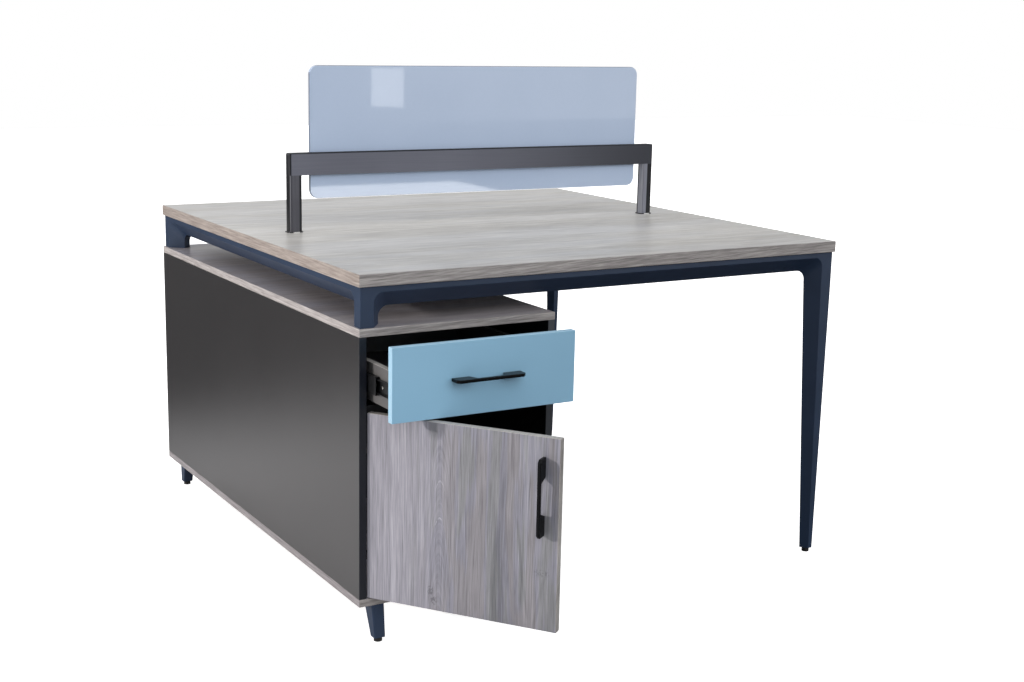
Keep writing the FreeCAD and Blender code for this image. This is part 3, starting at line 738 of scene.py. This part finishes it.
def stood(form, verts, place, toward, turn=0.0):
    """Moves what was made upright at the origin to its place, with its top toward a side."""
    lean = Vector((0.0, 0.0, 1.0)).rotation_difference(toward).to_matrix().to_4x4()
    matrix = Matrix.Translation(place) @ lean @ Matrix.Rotation(turn, 4, "Z")
    bmesh.ops.transform(form, matrix=matrix, verts=verts)


def screw_head(form, place, toward, size, turn):
    """A domed screw head with a cross recess, closed underneath."""
    radius, height = size
    dome, inner_share, recess_taper, recess_share = 0.4, 0.82, 0.75, 0.55
    verts = bmesh.ops.create_grid(form, x_segments=7, y_segments=7, size=1.0)["verts"]
    cross = []
    for face in dict.fromkeys(face for vert in verts for face in vert.link_faces):
        middle = face.calc_center_median()
        near, far = sorted((abs(middle.x), abs(middle.y)))
        if near < 0.1 and far < 0.6:
            cross.append(face)
    for vert in verts:
        outermost = max(abs(vert.co.x), abs(vert.co.y)) > 0.9
        flat = vert.co.normalized() if outermost else vert.co * inner_share
        up = height * (1 - dome * flat.length_squared)
        vert.co = Vector((flat.x * radius, flat.y * radius, up))
    sunk = vertices_in(bmesh.ops.extrude_face_region(form, geom=cross)["geom"])
    left_over = [face for face in cross if face.is_valid]
    bmesh.ops.delete(form, geom=left_over, context="FACES_ONLY")
    bmesh.ops.scale(form, vec=(recess_taper, recess_taper, 1.0), verts=sunk)
    bmesh.ops.translate(form, vec=(0.0, 0.0, -height * recess_share), verts=sunk)
    rim = [edge for edge in edges_of(verts) if edge.is_boundary]
    lowest = vertices_in(bmesh.ops.extrude_edge_only(form, edges=rim)["geom"])
    for vert in lowest:
        vert.co.z = 0.0
    loop = [edge for edge in edges_of(lowest) if edge.is_boundary]
    bmesh.ops.contextual_create(form, geom=loop)
    upper = [vert for vert in verts if vert.is_valid]
    stood(form, upper + sunk + lowest, place, toward, turn)


def disc(form, place, toward, radius, height, sides, edge):
    """A round or hexagonal plate with softened rims."""
    sharp = 1.0
    made = bmesh.ops.create_cone(
        form, cap_ends=True, segments=sides, radius1=radius, radius2=radius, depth=height)
    verts = made["verts"]
    bmesh.ops.translate(form, vec=(0.0, 0.0, height / 2), verts=verts)
    rims = [item for item in edges_of(verts) if item.calc_face_angle(0.0) > sharp]
    rounded = round_off(form, rims, edge)
    kept = [vert for vert in verts if vert.is_valid]
    stood(form, list(dict.fromkeys(rounded + kept)), place, toward)


def washer_and_head(form, place, toward, washer, head, turn):
    thickness = washer[1]
    disc(form, place, toward, *washer)
    screw_head(form, place + toward * thickness, toward, head, turn)


# Each screw is turned by its own place's number, taken as radians, so no two look alike.
def runner_screws(form):
    """Screws that hold the inner members to the drawer's sides."""
    for y in (61.0, 92.0, 188.0, 316.0, 444.0):
        place = at(27.5, y, runner_z)
        screw_head(form, place, leftward, runner_head, y)
        screw_head(form, mirrored(place), rightward, runner_head, y)


def drawer_screws(form):
    """Screws inside the drawer that hold its face and its handle."""
    for x in (75.0, 367.0):
        for z in (530.0, 562.0):
            screw_head(form, at(x, 30.5, z), backward, face_head, x + z)
    for x in (164.0, 278.0):
        place = at(x, 30.5, drawer_handle_z)
        washer_and_head(form, place, backward, handle_washer, handle_head, x)


def door_screws(form):
    """The handle's screws with washers, and the screws of the hinge cups, on the door's back."""
    for z in (306.5, 420.5):
        place = at(door_handle_x, 18.5, z)
        washer_and_head(form, place, backward, handle_washer, handle_head, z)
    for hinge_z in hinge_heights:
        for z in (hinge_z - 24.0, hinge_z + 24.0):
            screw_head(form, at(52.5, 19.7, z), backward, cup_head, z)


def arm_screws(form):
    """The screws of the mounting plates and the adjusting screws of the hinge arms."""
    along_arm = Vector((0.993, 0.115, 0.0))
    for hinge_z in hinge_heights:
        for z in (hinge_z - 18.0, hinge_z + 18.0):
            screw_head(form, at(18.0, 63.7, z), rightward, plate_head, z)
        screw_head(form, at(31.0, 31.0, hinge_z), rightward, side_adjuster, hinge_z)
        screw_head(form, at(27.8, 66.0, hinge_z), along_arm, depth_adjuster, hinge_z)


def ball_rows():
    """Where each row of balls starts: above and below each middle member, on both sides."""
    starts = []
    for x, from_middle, y in ((21.5, 19.8, 280.0), (23.6, 15.6, 40.0)):
        for z in (runner_z - from_middle, runner_z + from_middle):
            place = at(x, y, z)
            starts += [place, mirrored(place)]
    return starts


def balls(form):
    """Nine balls in every row."""
    for start in ball_rows():
        for count in range(9):
            place = Matrix.Translation(start + backward * (count * 0.02))
            bmesh.ops.create_icosphere(form, subdivisions=2, radius=0.0014, matrix=place)


def cages(form):
    """The thin strip that holds the balls of each row."""
    to_row_middle = backward * 0.08
    for start in ball_rows():
        verts = bmesh.ops.create_cube(form, size=1.0)["verts"]
        bmesh.ops.scale(form, vec=(0.0024, 0.17, 0.0006), verts=verts)
        bmesh.ops.translate(form, vec=start + to_row_middle, verts=verts)
        round_off(form, edges_of(verts), 0.00015)


for_both_users("runner_screws", runner_screws, nickel, "drawer")
for_both_users("drawer_screws", drawer_screws, nickel, "drawer")
for_both_users("door_screws", door_screws, nickel, "door")
for_both_users("runner_balls", balls, nickel, "runners")
for_both_users("runner_cages", cages, runner_steel, "runners")
for_both_users("arm_screws", arm_screws, nickel, "cabinet", body="desk")

form = bmesh.new()
for x in (324.0, 876.0):
    for y in (58.0, 1142.0):
        washer_and_head(form, at(x, y, 722.0), downward, tab_washer, tab_head, x + y)
finished("tab_screws", form, nickel, "desk")

form = bmesh.new()
for x in (116.0, 1084.0):
    disc(form, at(x, 600.0, 695.0), downward, *post_washer)
    disc(form, at(x, 600.0, 693.6), downward, *post_nut)
finished("post_bolts", form, nickel, "desk")


# Floor, light and camera
def stage_floor():
    """A pale floor that the camera sees nearly white.

    What it throws back at the desk is dim near the desk, pale on the left and farther in
    front. Far in front it glows, so that the screen mirrors no horizon."""
    dim, pale, bright = (0.08, 0.08, 0.085, 1.0), (0.5, 0.51, 0.53, 1.0), (0.88, 0.88, 0.9, 1.0)
    black, white = (0.0, 0.0, 0.0, 1.0), (0.98, 0.99, 1.0, 1.0)
    seen_colour, seen_glow = (0.96, 0.96, 0.96, 1.0), (0.7, 0.7, 0.7, 1.0)
    form = bmesh.new()
    bmesh.ops.create_grid(form, x_segments=1, y_segments=1, size=14.0)
    mesh = bpy.data.meshes.new("floor")
    form.to_mesh(mesh)
    form.free()
    floor = bpy.data.objects.new("floor", mesh)
    bpy.context.scene.collection.objects.link(floor)
    constants = {"Roughness": 0.8, "Specular IOR Level": 0.1, "Emission Strength": 1.0}
    paper = Finish("floor_paper", constants)
    x, y, _ = paper.parts_of(paper.place())
    ahead, behind = corner.y - y, y - corner.y
    left = (corner.x - x).between(-0.25, 0.2) * (1 - behind.between(1.2, 2.3))
    left = left * (behind.between(-1.8, -0.4) * 0.8 + 0.2)
    front = ahead.between(2.2, 4.0) * (1 - ahead.between(6.5, 7.0))
    far = ahead.between(7.5, 14.0) * 0.75
    thrown = paper.mix(left, paper.mix(front, dim, pale), bright)
    seen = paper.node("ShaderNodeLightPath", output="Is Camera Ray")
    paper.feed({"Base Color": paper.mix(seen, thrown, seen_colour)})
    paper.feed({"Emission Color": paper.mix(seen, paper.mix(far, black, white), seen_glow)})
    mesh.materials.append(paper.material)


def placed_light(name, kind, power):
    """A light in the scene, with its settings beside it."""
    lamp = bpy.data.lights.new(name, kind)
    lamp.energy = power
    light = bpy.data.objects.new(name, lamp)
    bpy.context.scene.collection.objects.link(light)
    return light, lamp


def turned_toward(aim):
    """The turn that points a light, which shines down its own Z, along a direction."""
    return Vector(aim).to_track_quat("-Z", "Y").to_matrix().to_4x4()


def softbox(name, place, target, size, power, glossy_only=False, colour=(1.0, 1.0, 1.0)):
    """A rectangular light that the camera doesn't see, or one that only reflections see."""
    light, lamp = placed_light(name, "AREA", power)
    lamp.shape = "RECTANGLE"
    lamp.size, lamp.size_y = size
    lamp.color = colour
    light.matrix_world = Matrix.Translation(place) @ turned_toward(target - place)
    light.visible_camera = False
    light.visible_diffuse = not glossy_only


def daylight(aim, power, spread, mirrored_in_surfaces=True):
    """A very soft light from one side that reaches the whole scene evenly."""
    light, lamp = placed_light("daylight", "SUN", power)
    lamp.angle = math.radians(spread)
    light.matrix_world = turned_toward(aim)
    light.visible_glossy = mirrored_in_surfaces


def surroundings(base, lobes):
    """White where the camera looks; for the light, a dim room with a few broad bright sides."""
    world = bpy.data.worlds.new("studio")
    bpy.context.scene.world = world
    world.use_nodes = True
    tree = world.node_tree
    tree.nodes.clear()

    def node(kind, links, output=0, **settings):
        made = tree.nodes.new(kind)
        for name, value in settings.items():
            setattr(made, name, value)
        for name, value in links.items():
            if isinstance(value, bpy.types.NodeSocket):
                tree.links.new(value, made.inputs[name])
            else:
                made.inputs[name].default_value = value
        return made.outputs[output] if made.outputs else None

    direction = node("ShaderNodeTexCoord", {}, "Generated")
    total = base
    for aim, end, full, strength in lobes:
        unit = tuple(Vector(aim).normalized())
        facing = node(
            "ShaderNodeVectorMath", {0: direction, 1: unit}, "Value", operation="DOT_PRODUCT")
        rise = {"From Min": math.cos(math.radians(end)), "From Max": math.cos(math.radians(full))}
        lobe = node(
            "ShaderNodeMapRange", {"Value": facing, "To Max": strength, **rise},
            interpolation_type="SMOOTHSTEP")
        total = node("ShaderNodeMath", {0: lobe, 1: total}, operation="ADD")
    lit = node("ShaderNodeBackground", {"Color": (0.985, 0.99, 1.0, 1.0), "Strength": total})
    seen = node("ShaderNodeBackground", {"Color": (1.0, 1.0, 1.0, 1.0)})
    camera_ray = node("ShaderNodeLightPath", {}, "Is Camera Ray")
    mixed = node("ShaderNodeMixShader", {0: camera_ray, 1: lit, 2: seen})
    node("ShaderNodeOutputWorld", {0: mixed})


def photograph_camera():
    """The camera as solved from the photograph's edges: yaw, pitch, roll and lens."""
    yaw = math.radians(30.72)
    pitch = math.radians(11.837)
    roll = math.radians(1.193)
    reach = math.cos(pitch)
    forward = Vector((math.sin(yaw) * reach, math.cos(yaw) * reach, -math.sin(pitch)))
    level = Vector((math.cos(yaw), -math.sin(yaw), 0.0))
    upward = level.cross(forward)
    right = level * math.cos(roll) + upward * math.sin(roll)
    up = upward * math.cos(roll) - level * math.sin(roll)
    lens = bpy.data.cameras.new("photograph_camera")
    lens.lens = 52.686
    lens.sensor_width = 36.0
    lens.clip_end = 60.0
    camera = bpy.data.objects.new("photograph_camera", lens)
    bpy.context.scene.collection.objects.link(camera)
    turn = Matrix((right, up, -forward)).transposed().to_4x4()
    camera.matrix_world = Matrix.Translation(at(-1180.7, -2559.4, 1215.9)) @ turn
    bpy.context.scene.camera = camera


# Each lobe of the room: where it lies, the angles where it ends and is full, its strength.
room = [
    ((-0.12, 0.98, 0.13), 58.0, 18.0, 0.54),
    ((0.75, 0.66, 0.15), 50.0, 10.0, 0.17),
    ((-0.95, -0.15, 0.3), 75.0, 15.0, 0.16),
    ((0.0, 0.0, 1.0), 80.0, 20.0, 0.66),
    ((0.6, -0.76, 0.27), 29.0, 8.0, 2.2),
    ((0.8, -0.6, 0.15), 50.0, 15.0, 0.25),
]
stage_floor()
surroundings(0.05, room)
daylight((0.62, 0.08, -0.78), power=0.2, spread=50.0)
daylight((0.1, 0.75, -0.65), power=0.8, spread=50.0)
daylight((-0.82, -0.56, -0.1), power=2.0, spread=35.0, mirrored_in_surfaces=False)
softbox(
    "key", at(-4580.0, 635.0, 1705.0), at(200.0, -50.0, 420.0),
    size=(0.17, 0.17), power=158.0, colour=(1.0, 0.94, 0.88))
softbox(
    "window", at(2960.0, -4800.0, 830.0), at(350.0, 600.0, 1070.0),
    size=(0.2, 0.24), power=0.42, glossy_only=True)
softbox(
    "pale_strip", at(3200.0, -5900.0, 5.0), at(3200.0, -5900.0, 900.0),
    size=(2.6, 1.7), power=70.0, glossy_only=True)
photograph_camera()
bpy.context.scene.view_settings.view_transform = "Standard"
